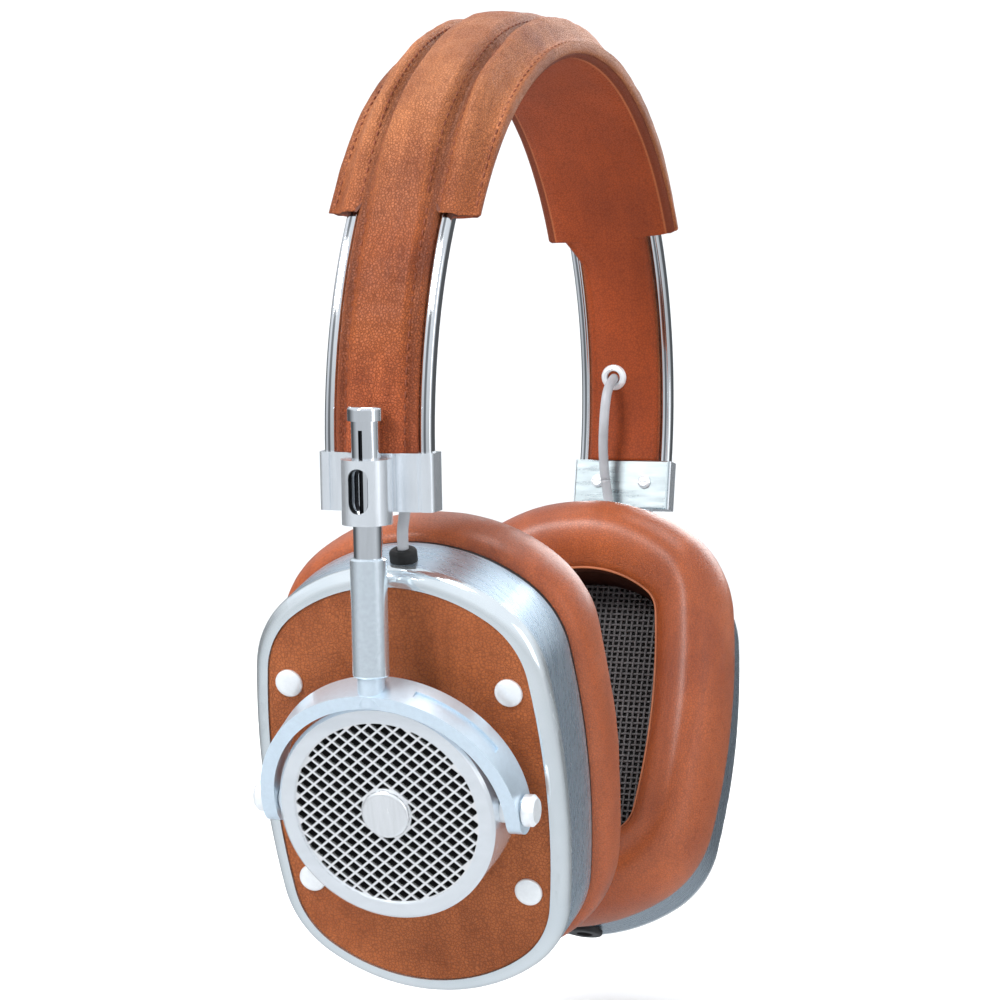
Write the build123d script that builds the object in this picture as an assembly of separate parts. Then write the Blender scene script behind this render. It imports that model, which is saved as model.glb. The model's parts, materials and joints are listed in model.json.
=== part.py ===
from build123d import *

# Over-ear headphones: leather headband on two spring bands, sliding rods, swivelling yokes, tilting cups.
# Frame, in millimetres: +X from the wearer's left ear to the right ear, -Y to the front, +Z up. The origin
# is the middle of the headband's inner face, where it rests on the head. The left side is the right side's
# parts turned half a turn about Z. At rest the right cup is swung a little and sits a little higher.

import os
from math import cos, hypot, pi, radians, sin, sqrt, tan

# ---- Headband: every layer is an arc about one axis, parallel to Y ----
LINER_RADIUS = 73.6  # inner face of the headband, so the arc's centre is this far below the origin
BAND_RADIUS = 76.5  # middle of the spring bands
ARC_HALF_ANGLE = 96.8  # from the crown to the top of each bracket
COVER_HALF_ANGLE = 60.0  # from the crown to each end of the wide padded cover
LINER_THICKNESS = 1.4
STRAP_HALF_WIDTH = 8.3
STRAP_TOP_RADIUS = 79.0
COVER_HALF_WIDTH = 15.6
COVER_SEAM_HALF_WIDTH = 14.3
COVER_SEAM_ALLOWANCE = 2.6
COVER_VALLEY = 7.0  # distance of the two long stitched valleys from the middle
COVER_TOP_RADIUS = 84.1
BAND_WIDTH = 2.4
BAND_DEPTH = 3.0
BAND_Y = 9.66
BAND_ROUND = 0.8
BAND_POCKET_DEPTH = 9.8

# ---- Bracket: x outward, z up along the rod, origin at the middle of the bracket ----
BRACKET_HALF_WIDTH = 11.6
BRACKET_HALF_HEIGHT = 5.55
BRACKET_BACK = -2.1
BRACKET_FRONT = 2.8
BRACKET_ROUND = 1.3
BRACKET_PLATE_THICKNESS = 0.8
BRACKET_GROOVES_Y = (-9.0, -4.0, 4.0, 9.0)
BRACKET_GROOVE_RADIUS = 0.35
BRACKET_SCREW_Y = 5.6
BRACKET_SCREW_Z = 0.6
BRACKET_SCREW_RADIUS = 0.8
BRACKET_SCREW_TIP = 1.0
ROD_X = 6.9  # rod axis, outward of the bracket's middle
ROD_RADIUS = 2.75
RUNNING_CLEARANCE = 0.05
BOSS_RADIUS = 4.8
BOSS_WEB_HALF_WIDTH = 3.4
BOSS_TOP = 4.9
BOSS_BOTTOM = -7.4
WINDOW_WIDTH = 4.0
WINDOW_HEIGHT = 8.5
WINDOW_Z = -0.85
CAP_RADIUS = 3.4
CAP_BOTTOM = 12.1
CAP_TOP = 14.8
CAP_STUD_RADIUS = 1.5
CAP_ROOF = 1.2
ROD_GROOVE_DEPTH = 0.5
ROD_GROOVE_HALF_WIDTH = 0.4
ROD_GROOVE_BOTTOM = -6.2
ROD_GROOVE_TOP = 10.4
SLEEVE_RADIUS = 3.5
SLEEVE_TOP = -13.8
SLEEVE_BOTTOM = -36.4
ROD_BOTTOM = -34.6

# ---- Yoke and cup: both turn about the pivot, whose axis is parallel to Y ----
PIVOT_X = -4.0
PIVOT_Z = -62.8
CUP_TILT = 12.9  # of the cup against the rod, at rest
YOKE_TILT = 22.4  # of the yoke's flat ring against the rod
YOKE_INNER_RADIUS = 23.6
YOKE_OUTER_RADIUS = 26.4
YOKE_HALF_DEPTH = 3.75
YOKE_TAB_LENGTH = 4.8
CHANNEL_DEPTH = 0.5
CHANNEL_HALF_WIDTH = 0.9
CHANNEL_START = 18.0
CHANNEL_END = 60.0
NECK_RADIUS = 2.6
PIN_RADIUS = 1.6
KNOB_RADIUS = 3.1
KNOB_END = 28.9
SPACER_RADIUS = 2.6

# Depths in the cup are measured outward from the pivot axis, so the ear pad is on the negative side.
PANEL_FACE = -7.3
PANEL_THICKNESS = 1.0
FLOOR_THICKNESS = 1.5
CUP_BACK = -22.9
CUP_WALL = 1.8
BEZEL_ROUND = 2.8
PANEL_HALF_WIDTH = 28.5
PANEL_HALF_HEIGHT = 41.7
PANEL_SIDE_RADIUS = 170.0
PANEL_END_RADIUS = 34.0
PANEL_CORNER_RADIUS = 17.0
CUP_GROW = 3.2  # cup wall outside the leather panel
SCREW_Y = 22.7
SCREW_Z = 20.9
SCREW_HEAD_RADIUS = 2.8
SCREW_SHANK_RADIUS = 1.45
SCREW_HEAD_HEIGHT = 1.1
SCREW_EDGE_HEIGHT = 0.3
DRUM_RADIUS = 22.1
DRUM_BORE = 18.3
DRUM_FACE = 5.4
GRILLE_RADIUS = 19.15
GRILLE_LIP_RADIUS = 18.9
GRILLE_BACK = 4.3
GRILLE_FRONT = 4.9
GRILLE_PITCH_Y = 3.2
GRILLE_PITCH_Z = 1.31
GRILLE_HOLE_HALF_Y = 1.26
GRILLE_HOLE_HALF_Z = 1.04
GRILLE_HOLES_RADIUS = 18.6
GRILLE_LEAST_HOLE = 0.3
BADGE_RADIUS = 4.9
BADGE_HEIGHT = 1.2
PAD_BACK = -24.4
PAD_FACE = -43.2
PAD_GROW = 5.4
PAD_HOLE_SHRINK = 9.2
DRIVER_RADIUS = 22.0
JACK_Y = -3.5
JACK_DEPTH = -15.6
JACK_NECK = 3.3
JACK_FLANGE_RADIUS = 3.9
JACK_BORE_RADIUS = 1.8
JACK_BORE_LENGTH = 13.0
BUTTON_Y = 9.0
BUTTON_HALF_LENGTH = 3.0
BUTTON_HALF_WIDTH = 1.3
BUTTON_OUT = -44.6
BUTTON_FLANGE_TOP = -39.4
BUTTON_FLANGE_THICKNESS = 1.0

# ---- Link cable from the headband to each cup ----
CABLE_RADIUS = 1.1
EYELET_ANGLE = 81.9
EYELET_Y = 2.3
EYELET_RADIUS = 3.0
EYELET_BORE = 1.4
EYELET_WALL = 0.5
GROMMET_DEPTH = -13.4
GROMMET_Y = 1.6
GROMMET_TOP = 47.2
GROMMET_NECK = 1.9
GROMMET_HEAD = 2.7

ARC_AXIS = Axis((0, 0, -LINER_RADIUS), (0, 1, 0))
END_TURN = radians(ARC_HALF_ANGLE)
LEAN = ARC_HALF_ANGLE - 90
BRACKET_CENTRE = (
    BAND_RADIUS * sin(END_TURN) - BRACKET_HALF_HEIGHT * sin(radians(LEAN)),
    0,
    -LINER_RADIUS + BAND_RADIUS * cos(END_TURN) - BRACKET_HALF_HEIGHT * cos(radians(LEAN)),
)
BRACKET_FRAME = Location(BRACKET_CENTRE) * Rotation(0, LEAN, 0)
PIVOT_FRAME = BRACKET_FRAME * Location((PIVOT_X, 0, PIVOT_Z))
YOKE_FRAME = PIVOT_FRAME * Rotation(0, YOKE_TILT, 0)
CUP_FRAME = PIVOT_FRAME * Rotation(0, CUP_TILT, 0)

# ---- How the right side hangs at rest, against the left side turned round ----
RIGHT_RISE = 1.2
RIGHT_SWING = 4.5
ROD_LINE = BRACKET_FRAME * Location((ROD_X, 0, 0))
RAISED = ROD_LINE * Location((0, 0, RIGHT_RISE)) * ROD_LINE.inverse()
SWUNG = ROD_LINE * Location((0, 0, RIGHT_RISE)) * Rotation(0, 0, RIGHT_SWING) * ROD_LINE.inverse()


# ---- Drawing helpers ----
def bar(low, high):
    """A box between two corners."""
    size = [b - a for a, b in zip(low, high)]
    middle = [(a + b) / 2 for a, b in zip(low, high)]
    return Location(tuple(middle)) * Box(*size)


def rod_z(radius, bottom, top, x=0.0, y=0.0):
    return Location((x, y, (bottom + top) / 2)) * Cylinder(radius, top - bottom)


def rod_x(radius, back, front, y=0.0, z=0.0):
    return Location(((back + front) / 2, y, z)) * Rotation(0, 90, 0) * Cylinder(radius, front - back)


def rod_y(radius, start, end, x=0.0, z=0.0):
    return Location((x, (start + end) / 2, z)) * Rotation(90, 0, 0) * Cylinder(radius, end - start)


def turned(points):
    """A solid turned about X from a closed outline of (depth along X, radius) points."""
    return revolve(Plane.XZ * make_face(Polyline(*points, close=True)), Axis.X, 360)


def along_arc(section, start, end):
    """A section drawn across the crown, in (y, radius), swept about the headband's axis."""
    face = Plane.YZ * Location((0, -LINER_RADIUS)) * section
    return revolve(face.rotate(ARC_AXIS, start), ARC_AXIS, end - start)


def arc_slab(half_width, low_radius, high_radius, half_angle):
    """A slab along the arc, as far on one side of the crown as on the other."""
    rectangle = Rectangle(2 * half_width, high_radius - low_radius)
    section = Location((0, (low_radius + high_radius) / 2)) * rectangle
    return along_arc(section, -half_angle, half_angle)


def cup_outline(grow):
    """The cup's rounded outline on the YZ plane: two side, two end and four corner arcs, all tangent."""
    half_width = PANEL_HALF_WIDTH + grow
    half_height = PANEL_HALF_HEIGHT + grow
    side = PANEL_SIDE_RADIUS + grow
    end = PANEL_END_RADIUS + grow
    corner = PANEL_CORNER_RADIUS + grow
    side_centre = half_width - side
    end_centre = half_height - end
    # The corner's centre is where two circles cross: one about each of the big arcs' centres.
    reach_side = side - corner
    reach_end = end - corner
    gap = hypot(side_centre, end_centre)
    from_side = (gap**2 + reach_side**2 - reach_end**2) / (2 * gap)
    height = sqrt(reach_side**2 - from_side**2)
    to_end = (-side_centre / gap, end_centre / gap)
    corner_y = side_centre + from_side * to_end[0] - height * to_end[1]
    corner_z = from_side * to_end[1] + height * to_end[0]
    side_touch = (
        side_centre + side * (corner_y - side_centre) / reach_side,
        side * corner_z / reach_side,
    )
    end_touch = (end * corner_y / reach_end, end_centre + end * (corner_z - end_centre) / reach_end)
    # The middle of the corner's arc lies towards both touching points at once.
    toward_y = side_touch[0] + end_touch[0] - 2 * corner_y
    toward_z = side_touch[1] + end_touch[1] - 2 * corner_z
    reach = hypot(toward_y, toward_z)
    corner_mid = (corner_y + corner * toward_y / reach, corner_z + corner * toward_z / reach)

    def at(point, y_sign, z_sign):
        return (point[0] * y_sign, point[1] * z_sign)

    arcs = []
    for y_sign in (1, -1):
        middle = (half_width * y_sign, 0)
        arcs.append(ThreePointArc(at(side_touch, y_sign, -1), middle, at(side_touch, y_sign, 1)))
        for z_sign in (1, -1):
            stops = [at(point, y_sign, z_sign) for point in (side_touch, corner_mid, end_touch)]
            arcs.append(ThreePointArc(*stops))
    for z_sign in (1, -1):
        middle = (0, half_height * z_sign)
        arcs.append(ThreePointArc(at(end_touch, 1, z_sign), middle, at(end_touch, -1, z_sign)))
    return make_face(Curve() + arcs)


def cup_slab(grow, back, front):
    """The cup's outline, grown or shrunk, between two depths."""
    return extrude(Plane((back, 0, 0), x_dir=(0, 1, 0), z_dir=(1, 0, 0)) * cup_outline(grow), front - back)


def stadium_slab(half_length, half_width, bottom, top, x=0.0, y=0.0):
    """An upright bar with a stadium section, long along Y."""
    face = SlotOverall(2 * half_length, 2 * half_width)
    return extrude(Plane((x, y, bottom), x_dir=(0, 1, 0), z_dir=(0, 0, 1)) * face, top - bottom)


# ---- Headband ----
def headband_liner():
    top = LINER_RADIUS + LINER_THICKNESS
    wide = arc_slab(COVER_HALF_WIDTH, LINER_RADIUS, top, COVER_HALF_ANGLE)
    tail = arc_slab(STRAP_HALF_WIDTH, LINER_RADIUS, top, ARC_HALF_ANGLE)
    liner = wide + tail
    for turn in (0, 180):
        hole = eyelet_frame() * rod_x(EYELET_BORE + EYELET_WALL, -3, 3)
        liner -= hole.rotate(Axis.Z, turn)
    return liner


def headband_core():
    low = LINER_RADIUS + LINER_THICKNESS
    return arc_slab(STRAP_HALF_WIDTH - 0.1, low, STRAP_TOP_RADIUS - LINER_THICKNESS, ARC_HALF_ANGLE)


def headband_cover():
    """Padded top: a crowned middle, two rolls over the bands and thin stitched edges, on two tails."""
    edge_low = LINER_RADIUS + LINER_THICKNESS
    inside = COVER_SEAM_HALF_WIDTH - COVER_SEAM_ALLOWANCE
    half = (
        (0, STRAP_TOP_RADIUS),
        (inside, STRAP_TOP_RADIUS),
        (inside, edge_low),
        (COVER_HALF_WIDTH, edge_low),
        (COVER_HALF_WIDTH, edge_low + 2.2),
        (COVER_SEAM_HALF_WIDTH, edge_low + 2.6),
    )
    crown = (
        *half,
        (COVER_SEAM_HALF_WIDTH - 1.8, COVER_TOP_RADIUS - 4.4),
        (COVER_SEAM_HALF_WIDTH - 4.0, COVER_TOP_RADIUS - 2.6),
        (COVER_VALLEY + 1.2, COVER_TOP_RADIUS - 2.2),
        (COVER_VALLEY, COVER_TOP_RADIUS - 2.9),
        (COVER_VALLEY - 1.4, COVER_TOP_RADIUS - 1.0),
        (COVER_VALLEY - 3.6, COVER_TOP_RADIUS),
        (0, COVER_TOP_RADIUS),
    )
    face = make_face(Polyline(*crown, close=True))
    padded = along_arc(face + mirror(face, Plane.YZ), -COVER_HALF_ANGLE, COVER_HALF_ANGLE)
    strap_low = STRAP_TOP_RADIUS - LINER_THICKNESS
    strap = arc_slab(STRAP_HALF_WIDTH, strap_low, STRAP_TOP_RADIUS, ARC_HALF_ANGLE)
    return padded + strap


def spring_band(y):
    section = Location((y, BAND_RADIUS)) * RectangleRounded(BAND_WIDTH, BAND_DEPTH, BAND_ROUND)
    arc = along_arc(section, -ARC_HALF_ANGLE, ARC_HALF_ANGLE)
    for turn in (0, 180):
        leg_y = y if turn == 0 else -y
        top = Plane((0, leg_y, BRACKET_HALF_HEIGHT), x_dir=(0, 1, 0), z_dir=(0, 0, -1))
        leg = extrude(top * RectangleRounded(BAND_WIDTH, BAND_DEPTH, BAND_ROUND), BAND_POCKET_DEPTH - 0.2)
        arc += (BRACKET_FRAME * leg).rotate(Axis.Z, turn)
    return arc


# ---- Bracket at each end of the headband ----
def bracket():
    low = (BRACKET_BACK, -BRACKET_HALF_WIDTH, -BRACKET_HALF_HEIGHT)
    high = (BRACKET_FRONT, BRACKET_HALF_WIDTH, BRACKET_HALF_HEIGHT)
    block = bar(low, high)
    outer_edges = block.edges().filter_by(Axis.Z).sort_by(Axis.X)[-2:]
    block = fillet(outer_edges, BRACKET_ROUND)
    for y in BRACKET_GROOVES_Y:
        groove = rod_z(BRACKET_GROOVE_RADIUS, -BRACKET_HALF_HEIGHT, BRACKET_HALF_HEIGHT, BRACKET_FRONT, y)
        block -= groove
    block += rod_z(BOSS_RADIUS, BOSS_BOTTOM, BOSS_TOP, ROD_X)
    web = BOSS_WEB_HALF_WIDTH
    block += bar((0, -web, -BRACKET_HALF_HEIGHT), (ROD_X - 1, web, BOSS_TOP))
    block -= rod_z(ROD_RADIUS + RUNNING_CLEARANCE, -20, 20, ROD_X)
    window = SlotOverall(WINDOW_HEIGHT, WINDOW_WIDTH, rotation=90)
    window_plane = Plane((ROD_X, 0, WINDOW_Z), x_dir=(0, 1, 0), z_dir=(1, 0, 0))
    block -= extrude(window_plane * window, BOSS_RADIUS + 1)
    for y in (-BAND_Y, BAND_Y):
        mouth = Plane((0, y, BRACKET_HALF_HEIGHT), x_dir=(0, 1, 0), z_dir=(0, 0, -1))
        block -= extrude(mouth * RectangleRounded(BAND_WIDTH, BAND_DEPTH, BAND_ROUND), BAND_POCKET_DEPTH)
    for y in (-BRACKET_SCREW_Y, BRACKET_SCREW_Y):
        block -= rod_x(BRACKET_SCREW_RADIUS, BRACKET_BACK - 1, BRACKET_SCREW_TIP, y, BRACKET_SCREW_Z)
    return BRACKET_FRAME * block


def bracket_plate():
    back = BRACKET_BACK - BRACKET_PLATE_THICKNESS
    width = BRACKET_HALF_WIDTH - 0.5
    plate = bar((back, -width, -BRACKET_HALF_HEIGHT), (BRACKET_BACK, width, BRACKET_HALF_HEIGHT))
    plate = chamfer(plate.edges().group_by(Axis.X)[0], 0.25)
    for y in (-BRACKET_SCREW_Y, BRACKET_SCREW_Y):
        plate -= rod_x(BRACKET_SCREW_RADIUS, back - 1, BRACKET_BACK + 1, y, BRACKET_SCREW_Z)
    return BRACKET_FRAME * plate


def bracket_screws():
    back = BRACKET_BACK - BRACKET_PLATE_THICKNESS
    outline = (
        (BRACKET_SCREW_TIP, 0),
        (BRACKET_SCREW_TIP, BRACKET_SCREW_RADIUS),
        (back, BRACKET_SCREW_RADIUS),
        (back, 1.5),
        (back - 0.4, 1.5),
        (back - 0.8, 1.0),
        (back - 0.8, 0),
    )
    screws = []
    for y in (-BRACKET_SCREW_Y, BRACKET_SCREW_Y):
        screw = turned(outline) - bar((back - 1, -2, -0.2), (back - 0.4, 2, 0.2))
        screws.append(BRACKET_FRAME * Location((0, y, BRACKET_SCREW_Z)) * screw)
    return Compound(screws)


def eyelet_frame():
    """X points outward along the arc's radius, at the headband's inner face."""
    angle = radians(EYELET_ANGLE)
    place = (LINER_RADIUS * sin(angle), EYELET_Y, -LINER_RADIUS + LINER_RADIUS * cos(angle))
    return Location(place) * Rotation(0, EYELET_ANGLE - 90, 0)


def eyelet():
    outline = (
        (0, EYELET_BORE),
        (LINER_THICKNESS - 0.1, EYELET_BORE),
        (LINER_THICKNESS - 0.1, EYELET_BORE + EYELET_WALL),
        (0, EYELET_BORE + EYELET_WALL),
        (-0.25, EYELET_RADIUS),
        (-0.7, EYELET_RADIUS - 0.3),
        (-1.0, EYELET_RADIUS - 0.9),
        (-0.8, EYELET_BORE + 0.2),
    )
    return eyelet_frame() * turned(outline)


# ---- Sliding rod ----
def slider_rod():
    stud = rod_z(CAP_STUD_RADIUS, CAP_BOTTOM, CAP_TOP - CAP_ROOF)
    rod = rod_z(ROD_RADIUS, ROD_BOTTOM, CAP_BOTTOM) + stud
    groove_low = (ROD_RADIUS - ROD_GROOVE_DEPTH, -ROD_GROOVE_HALF_WIDTH, ROD_GROOVE_BOTTOM)
    groove = bar(groove_low, (ROD_RADIUS + 1, ROD_GROOVE_HALF_WIDTH, ROD_GROOVE_TOP))
    return BRACKET_FRAME * Location((ROD_X, 0, 0)) * (rod - groove)


def rod_cap():
    cap = fillet(rod_z(CAP_RADIUS, CAP_BOTTOM, CAP_TOP).edges().sort_by(Axis.Z)[-1], 0.7)
    cap -= rod_z(CAP_STUD_RADIUS, CAP_BOTTOM, CAP_TOP - CAP_ROOF)
    return BRACKET_FRAME * Location((ROD_X, 0, 0)) * cap


# ---- Yoke ----
def rod_sleeve():
    sleeve = rod_z(SLEEVE_RADIUS, SLEEVE_BOTTOM, SLEEVE_TOP)
    sleeve = chamfer(sleeve.edges().filter_by(GeomType.CIRCLE), 0.35)
    sleeve -= rod_z(ROD_RADIUS + RUNNING_CLEARANCE, ROD_BOTTOM - 0.4, SLEEVE_TOP + 1)
    return BRACKET_FRAME * Location((ROD_X, 0, 0)) * sleeve


def arm_sector(low_radius, high_radius, half_depth, start, end):
    """Part of a ring about the pivot's X axis, between two angles from the top towards the front (-Y)."""
    middle = (low_radius + high_radius) / 2
    section = Location((0, middle)) * Rectangle(2 * half_depth, high_radius - low_radius)
    return revolve((Plane.XZ * section).rotate(Axis.X, start), Axis.X, end - start)


def yoke():
    """A thin strip, deep along the cup's axis, bent over the drum, with tabs down past the pivots."""
    half = YOKE_HALF_DEPTH
    ring = rod_x(YOKE_OUTER_RADIUS, -half, half) - bar((-9, -40, -40), (9, 40, 0))
    for side in (1, -1):
        start, end = sorted((side * YOKE_INNER_RADIUS, side * YOKE_OUTER_RADIUS))
        tab = rod_y(half, start, end, 0, half - YOKE_TAB_LENGTH)
        ring += tab + bar((-half, start, half - YOKE_TAB_LENGTH), (half, end, 0.5))
    ring -= rod_x(YOKE_INNER_RADIUS, -9, 9)
    bottom = YOKE_OUTER_RADIUS - CHANNEL_DEPTH
    ring -= arm_sector(bottom, YOKE_OUTER_RADIUS + 1, CHANNEL_HALF_WIDTH, -CHANNEL_END, -CHANNEL_START)
    ring -= rod_y(PIN_RADIUS + RUNNING_CLEARANCE, -40, 40)
    neck = rod_z(NECK_RADIUS, SLEEVE_BOTTOM - 5.5, SLEEVE_BOTTOM)
    neck = BRACKET_FRAME * Location((ROD_X, 0, 0)) * neck
    seat = BRACKET_FRAME * rod_z(SLEEVE_RADIUS + 0.3, SLEEVE_BOTTOM, SLEEVE_TOP, ROD_X)
    drum_room = YOKE_FRAME * rod_x(YOKE_INNER_RADIUS, -9, 9)
    return YOKE_FRAME * ring - seat + neck - drum_room


# ---- Ear cup ----
def screw_places():
    return [(y, z) for y in (-SCREW_Y, SCREW_Y) for z in (-SCREW_Z, SCREW_Z)]


def cup_housing(with_button):
    floor_face = PANEL_FACE - PANEL_THICKNESS
    shell = cup_slab(CUP_GROW, CUP_BACK, PANEL_FACE + 0.3)
    shell = fillet(shell.edges().group_by(Axis.X)[-1], BEZEL_ROUND)
    shell -= cup_slab(0, floor_face, PANEL_FACE + 2)
    shell -= cup_slab(CUP_GROW - CUP_WALL, CUP_BACK - 1, floor_face - FLOOR_THICKNESS)
    shell -= rod_x(DRUM_BORE, -20, 0)
    for y, z in screw_places():
        shell -= rod_x(SCREW_SHANK_RADIUS, -15, 0, y, z)
    shell -= rod_z(GROMMET_NECK, 40, 50, GROMMET_DEPTH, GROMMET_Y)
    shell -= rod_z(JACK_NECK, -50, -38, JACK_DEPTH, JACK_Y)
    if with_button:
        shell -= stadium_slab(
            BUTTON_HALF_LENGTH + 0.3, BUTTON_HALF_WIDTH + 0.3, -50, -38, JACK_DEPTH, BUTTON_Y
        )
    return CUP_FRAME * shell


def leather_panel():
    panel = cup_slab(0, PANEL_FACE - PANEL_THICKNESS, PANEL_FACE)
    panel = fillet(panel.edges().group_by(Axis.X)[-1], 0.4)
    panel -= rod_x(DRUM_RADIUS, -20, 0)
    for y, z in screw_places():
        panel -= rod_x(SCREW_SHANK_RADIUS, -15, 0, y, z)
    return CUP_FRAME * panel


def panel_screws():
    head = SCREW_HEAD_RADIUS
    end = PANEL_FACE - PANEL_THICKNESS - FLOOR_THICKNESS
    stem = ((end, 0), (end, SCREW_SHANK_RADIUS), (PANEL_FACE, SCREW_SHANK_RADIUS), (PANEL_FACE, head))
    edge = PANEL_FACE + SCREW_EDGE_HEIGHT
    arc = [radians(15 * step) for step in range(7)]
    rise = SCREW_HEAD_HEIGHT - SCREW_EDGE_HEIGHT
    crown = [(edge + rise * sin(turn), head * cos(turn)) for turn in arc[:-1]]
    dome = turned((*stem, *crown, (PANEL_FACE + SCREW_HEAD_HEIGHT, 0)))
    return Compound([CUP_FRAME * Location((0, y, z)) * dome for y, z in screw_places()])


def drum():
    back = PANEL_FACE - PANEL_THICKNESS
    outline = (
        (back, DRUM_BORE),
        (back, DRUM_RADIUS),
        (DRUM_FACE - 0.6, DRUM_RADIUS),
        (DRUM_FACE, DRUM_RADIUS - 0.6),
        (DRUM_FACE, GRILLE_LIP_RADIUS),
        (GRILLE_FRONT, GRILLE_LIP_RADIUS),
        (GRILLE_FRONT, GRILLE_RADIUS),
        (GRILLE_BACK - 0.7, GRILLE_RADIUS),
        (GRILLE_BACK - 0.7, DRUM_BORE),
    )
    return CUP_FRAME * (turned(outline) - rod_y(PIN_RADIUS, -30, 30))


def grille():
    """A plate of staggered diamond holes, cut off in a circle, with a plain middle under the badge."""
    rows = int(GRILLE_HOLES_RADIUS / GRILLE_PITCH_Z) + 1
    columns = int(GRILLE_HOLES_RADIUS / GRILLE_PITCH_Y) + 1
    half_y, half_z = GRILLE_HOLE_HALF_Y, GRILLE_HOLE_HALF_Z
    diamond = make_face(Polyline((half_y, 0), (0, half_z), (-half_y, 0), (0, -half_z), close=True))
    middle = Circle(BADGE_RADIUS + 0.2)
    holes = []
    for row in range(-rows, rows + 1):
        shift = GRILLE_PITCH_Y / 2 * (row % 2)
        for column in range(-columns, columns + 1):
            place = (column * GRILLE_PITCH_Y + shift, row * GRILLE_PITCH_Z)
            reach = hypot(*place)
            if reach < BADGE_RADIUS - 0.6 or reach > GRILLE_HOLES_RADIUS + 0.3:
                continue
            hole = Location(place) * diamond
            if reach > GRILLE_HOLES_RADIUS - half_y:
                hole = hole & Circle(GRILLE_HOLES_RADIUS)
            if reach < BADGE_RADIUS + half_y:
                hole = hole - middle
            if hole.area > GRILLE_LEAST_HOLE:
                holes.append(hole)
    plate = Circle(GRILLE_RADIUS) - holes
    plane = Plane((GRILLE_BACK, 0, 0), x_dir=(0, 1, 0), z_dir=(1, 0, 0))
    return CUP_FRAME * extrude(plane * plate, GRILLE_FRONT - GRILLE_BACK)


def grille_cloth():
    return CUP_FRAME * rod_x(GRILLE_RADIUS, GRILLE_BACK - 0.7, GRILLE_BACK)


def badge():
    disc = rod_x(BADGE_RADIUS, GRILLE_FRONT, GRILLE_FRONT + BADGE_HEIGHT)
    return CUP_FRAME * fillet(disc.edges().group_by(Axis.X)[-1], 0.8)


def pivot_screws():
    """A pin, a spacer between drum and yoke, and a round knob outside, at the front and at the back."""
    outline = (
        (20.4, 0),
        (20.4, PIN_RADIUS),
        (DRUM_RADIUS, PIN_RADIUS),
        (DRUM_RADIUS, SPACER_RADIUS),
        (YOKE_INNER_RADIUS - 0.2, SPACER_RADIUS),
        (YOKE_INNER_RADIUS - 0.2, PIN_RADIUS),
        (YOKE_OUTER_RADIUS + 0.2, PIN_RADIUS),
        (YOKE_OUTER_RADIUS + 0.2, KNOB_RADIUS),
        (KNOB_END - 0.7, KNOB_RADIUS),
        (KNOB_END, KNOB_RADIUS - 0.7),
        (KNOB_END, 0),
    )
    screw = turned(outline)
    front = screw.rotate(Axis.Z, -90)
    return Compound([CUP_FRAME * front, CUP_FRAME * front.rotate(Axis.Z, 180)])


def baffle():
    plate = cup_slab(CUP_GROW - CUP_WALL - 0.05, CUP_BACK, CUP_BACK + 2) - rod_x(DRIVER_RADIUS, -30, 0)
    return CUP_FRAME * plate


def driver_basket():
    outline = (
        (CUP_BACK, 20.0),
        (CUP_BACK, DRIVER_RADIUS),
        (CUP_BACK + 2.4, DRIVER_RADIUS),
        (CUP_BACK + 2.4, 17.5),
        (CUP_BACK + 7.0, 14.0),
        (CUP_BACK + 7.0, 0),
        (CUP_BACK + 5.8, 0),
        (CUP_BACK + 5.8, 13.2),
        (CUP_BACK + 1.6, 16.6),
        (CUP_BACK + 1.6, 20.0),
    )
    return CUP_FRAME * turned(outline)


def driver_magnet():
    magnet = rod_x(11.0, CUP_BACK + 7.0, CUP_BACK + 11.4)
    return CUP_FRAME * fillet(magnet.edges().group_by(Axis.X)[-1], 0.8)


def diaphragm():
    outline = (
        (CUP_BACK + 1.6, 0),
        (CUP_BACK + 1.6, 19.8),
        (CUP_BACK + 1.0, 19.8),
        (CUP_BACK + 0.4, 12.0),
        (CUP_BACK + 0.4, 0),
    )
    return CUP_FRAME * turned(outline)


def pad_plate():
    plate = cup_slab(CUP_GROW - 0.3, PAD_BACK, CUP_BACK) - cup_slab(-PAD_HOLE_SHRINK, -30, 0)
    return CUP_FRAME * plate


def ear_mesh():
    return CUP_FRAME * cup_slab(-PAD_HOLE_SHRINK, CUP_BACK - 0.9, CUP_BACK)


def ear_pad():
    pad = cup_slab(PAD_GROW, PAD_FACE, PAD_BACK)
    pad = fillet(pad.edges().group_by(Axis.X)[0], 8.0)
    pad = fillet(pad.edges().group_by(Axis.X)[-1], 3.0)
    pad -= cup_slab(-PAD_HOLE_SHRINK, PAD_FACE - 1, PAD_BACK + 1)
    pad = fillet(pad.edges().group_by(Axis.X)[0], 4.0)
    return CUP_FRAME * pad


def jack_socket():
    wall = -(PANEL_HALF_HEIGHT + CUP_GROW)
    body = rod_z(JACK_NECK, wall, wall + JACK_BORE_LENGTH - 1.2, JACK_DEPTH, JACK_Y)
    flange = rod_z(JACK_FLANGE_RADIUS, wall - 0.9, wall + 0.25, JACK_DEPTH, JACK_Y)
    flange = fillet(flange.edges().group_by(Axis.Z)[0], 0.5)
    bore = rod_z(JACK_BORE_RADIUS, wall - 1, wall - 0.9 + JACK_BORE_LENGTH, JACK_DEPTH, JACK_Y)
    outside = cup_slab(CUP_GROW, -30, 0)
    return CUP_FRAME * (body + (flange - outside) - bore)


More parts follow.
